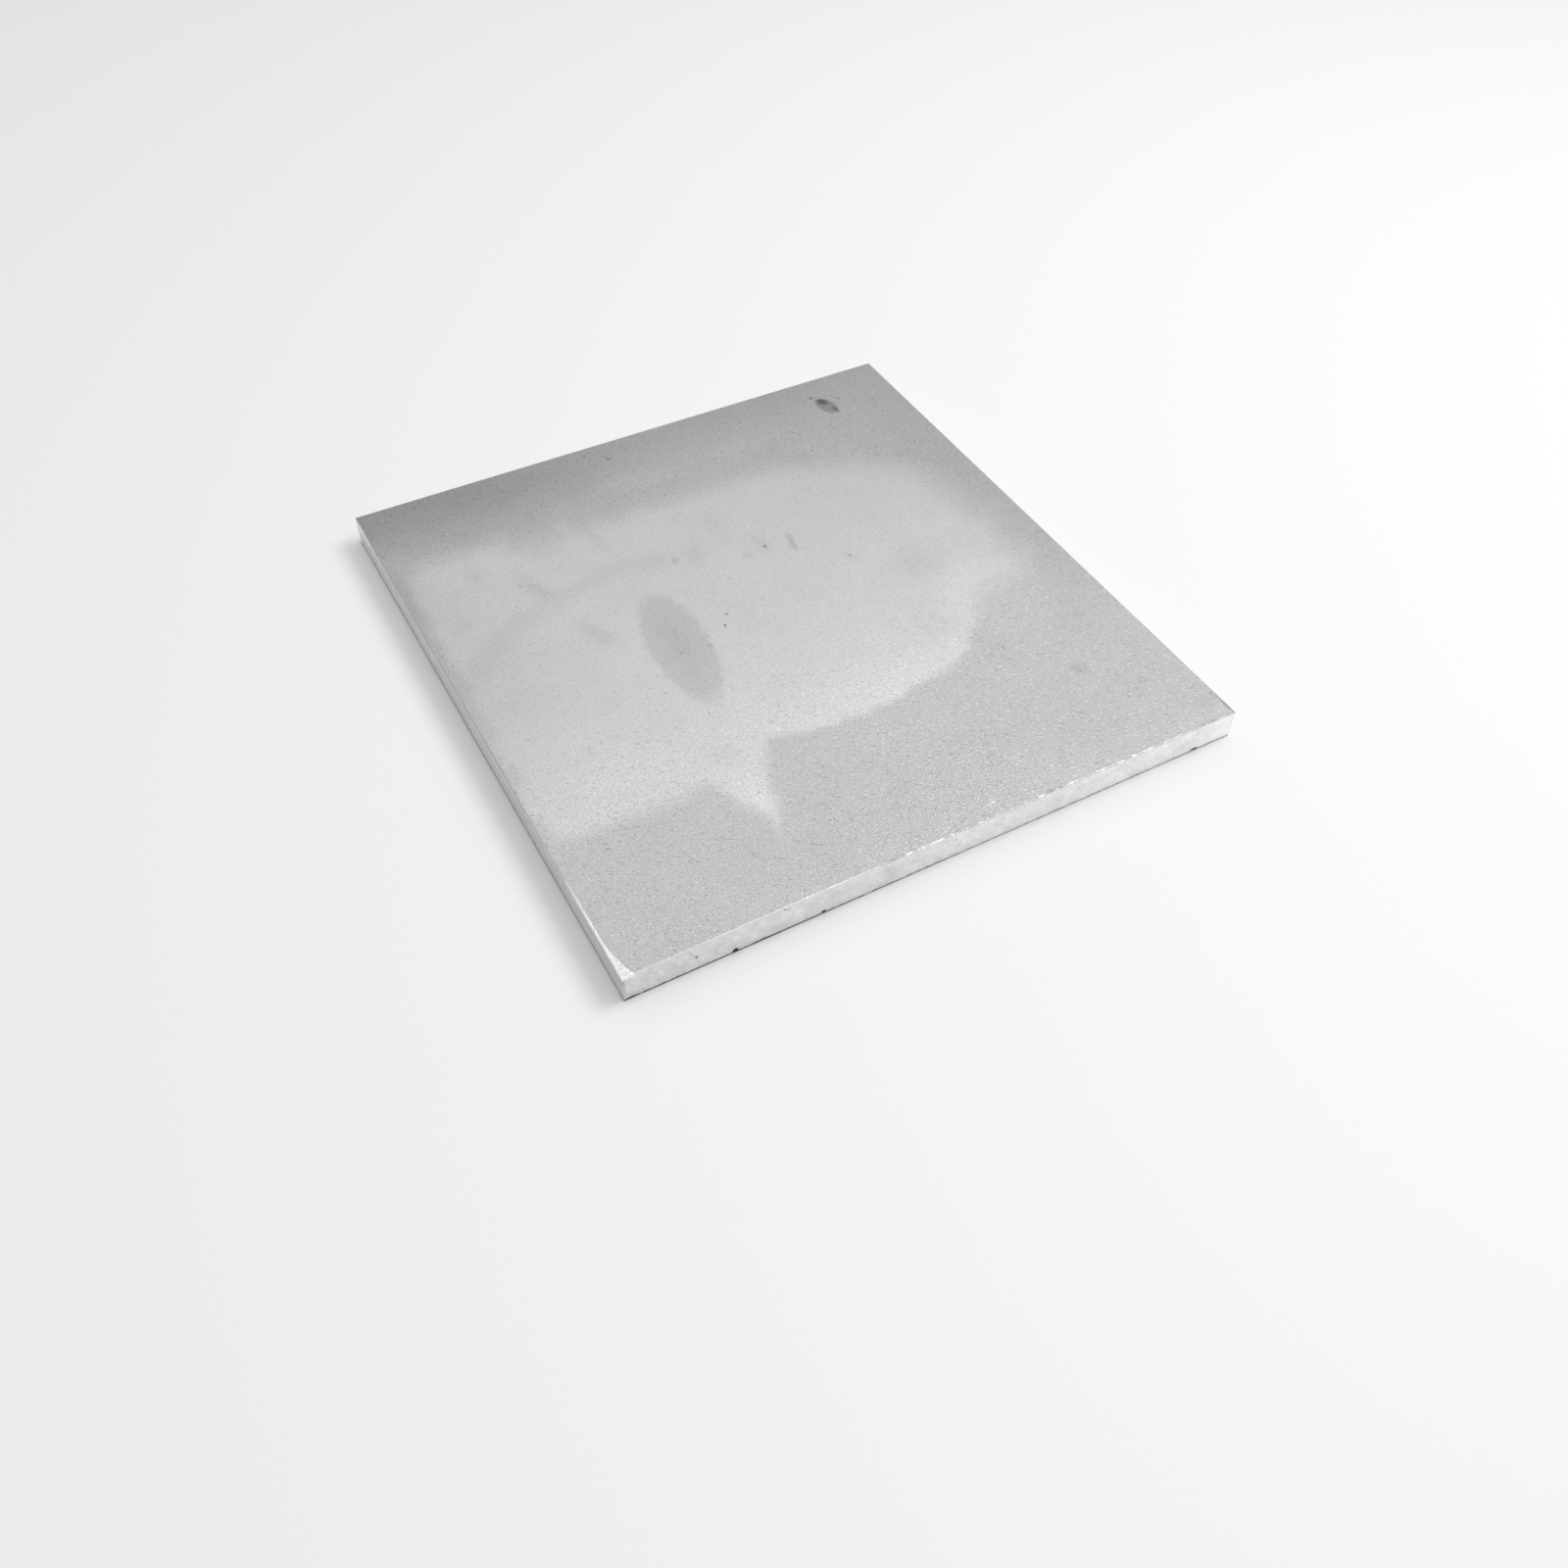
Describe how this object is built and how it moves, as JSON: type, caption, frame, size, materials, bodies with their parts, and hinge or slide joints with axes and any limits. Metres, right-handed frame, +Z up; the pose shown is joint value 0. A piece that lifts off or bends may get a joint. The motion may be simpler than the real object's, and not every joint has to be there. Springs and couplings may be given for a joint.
{
  "type": "aluminium plate blank",
  "caption": "Flat rectangular blank of bare rolled aluminium plate with sawn edges, for machining, drilling or use as a base plate.",
  "frame": {"origin": "centre of the outline, on the underside that rests on the floor", "axes": "+Z up through the gauge, +Y along the longer sawn side, +X along the shorter sawn side"},
  "size_m": [0.127, 0.1334, 0.0063],
  "materials": {
    "mill_aluminium": "bare mill finish on the rolled faces, saw cut on the edges"
  },
  "bodies": {
    "root": {"plate": "mill_aluminium"}
  },
  "joints": []
}
